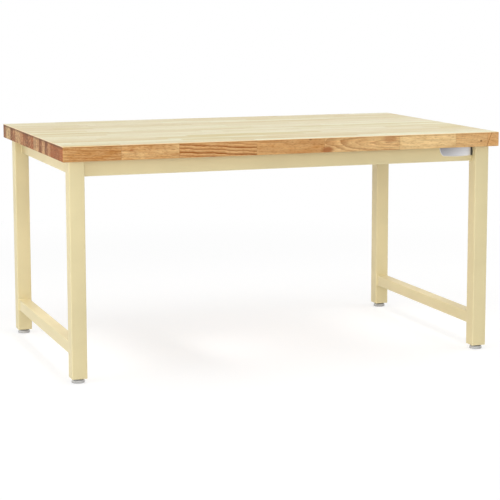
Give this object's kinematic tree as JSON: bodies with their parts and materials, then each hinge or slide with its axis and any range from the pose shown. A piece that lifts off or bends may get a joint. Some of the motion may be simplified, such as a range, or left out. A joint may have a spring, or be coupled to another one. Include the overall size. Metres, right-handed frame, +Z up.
{
  "type": "workbench",
  "caption": "Workbench with a thick butcher-block worktop on a beige tube-steel frame of two H-shaped leg frames joined by channel aprons, standing on levelling feet.",
  "frame": {"origin": "on the floor under the middle of the worktop", "axes": "+X along the bench to the right of someone standing at its front, +Y to the back, +Z up"},
  "size_m": [1.524, 0.9144, 0.762],
  "materials": {
    "butcher_block": "oiled and sanded hardwood staves",
    "beige_coat": "satin powder coat",
    "bright_plate": "brushed",
    "plated_foot": "nickel plated, satin",
    "zinc": "zinc plated",
    "dark_steel": "bare welded steel, dull"
  },
  "bodies": {
    "frame": {"worktop": "butcher_block", "left_front_leg": "beige_coat", "left_rear_leg": "beige_coat", "right_front_leg": "beige_coat", "right_rear_leg": "beige_coat", "left_lower_rail": "beige_coat", "right_lower_rail": "beige_coat", "left_upper_rail": "beige_coat", "right_upper_rail": "beige_coat", "front_apron": "beige_coat", "rear_apron": "beige_coat", "name_plate": "bright_plate", "left_front_socket": "dark_steel", "left_rear_socket": "dark_steel", "right_front_socket": "dark_steel", "right_rear_socket": "dark_steel", "left_front_apron_bolt_lower": "zinc", "left_front_apron_bolt_upper": "zinc", "left_rear_apron_bolt_lower": "zinc", "left_rear_apron_bolt_upper": "zinc", "right_front_apron_bolt_lower": "zinc", "right_front_apron_bolt_upper": "zinc", "right_rear_apron_bolt_lower": "zinc", "right_rear_apron_bolt_upper": "zinc", "left_front_apron_nut_lower": "zinc", "left_front_apron_nut_upper": "zinc", "left_rear_apron_nut_lower": "zinc", "left_rear_apron_nut_upper": "zinc", "right_front_apron_nut_lower": "zinc", "right_front_apron_nut_upper": "zinc", "right_rear_apron_nut_lower": "zinc", "right_rear_apron_nut_upper": "zinc", "front_top_screw_1": "zinc", "front_top_screw_2": "zinc", "front_top_screw_3": "zinc", "rear_top_screw_1": "zinc", "rear_top_screw_2": "zinc", "rear_top_screw_3": "zinc", "left_top_screw_1": "zinc", "left_top_screw_2": "zinc", "right_top_screw_1": "zinc", "right_top_screw_2": "zinc"},
    "left_front_foot": {"left_front_pad": "plated_foot"},
    "left_rear_foot": {"left_rear_pad": "plated_foot"},
    "right_front_foot": {"right_front_pad": "plated_foot"},
    "right_rear_foot": {"right_rear_pad": "plated_foot"},
    "left_front_screw": {"left_front_stud": "zinc"},
    "left_rear_screw": {"left_rear_stud": "zinc"},
    "right_front_screw": {"right_front_stud": "zinc"},
    "right_rear_screw": {"right_rear_stud": "zinc"}
  },
  "joints": [
    {"name": "left_front_foot_drop", "type": "slide", "parent": "frame", "child": "left_front_foot", "axis": [0, 0, -1], "range_m": [0, 0.024]},
    {"name": "left_rear_foot_drop", "type": "slide", "parent": "frame", "child": "left_rear_foot", "axis": [0, 0, -1], "range_m": [0, 0.024]},
    {"name": "right_front_foot_drop", "type": "slide", "parent": "frame", "child": "right_front_foot", "axis": [0, 0, -1], "range_m": [0, 0.024]},
    {"name": "right_rear_foot_drop", "type": "slide", "parent": "frame", "child": "right_rear_foot", "axis": [0, 0, -1], "range_m": [0, 0.024]},
    {"name": "left_front_screw_turn", "type": "hinge", "parent": "left_front_foot", "child": "left_front_screw", "pos_m": [-0.712, -0.4072, 0.02], "axis": [0, 0, -1], "range_deg": [0, 5760]},
    {"name": "left_rear_screw_turn", "type": "hinge", "parent": "left_rear_foot", "child": "left_rear_screw", "pos_m": [-0.712, 0.4072, 0.02], "axis": [0, 0, -1], "range_deg": [0, 5760]},
    {"name": "right_front_screw_turn", "type": "hinge", "parent": "right_front_foot", "child": "right_front_screw", "pos_m": [0.712, -0.4072, 0.02], "axis": [0, 0, -1], "range_deg": [0, 5760]},
    {"name": "right_rear_screw_turn", "type": "hinge", "parent": "right_rear_foot", "child": "right_rear_screw", "pos_m": [0.712, 0.4072, 0.02], "axis": [0, 0, -1], "range_deg": [0, 5760]}
  ],
  "couplings": [
    {"joint": "left_front_screw_turn", "follows": "left_front_foot_drop", "rad_per_m": 4188.8},
    {"joint": "left_rear_screw_turn", "follows": "left_rear_foot_drop", "rad_per_m": 4188.8},
    {"joint": "right_front_screw_turn", "follows": "right_front_foot_drop", "rad_per_m": 4188.8},
    {"joint": "right_rear_screw_turn", "follows": "right_rear_foot_drop", "rad_per_m": 4188.8}
  ]
}
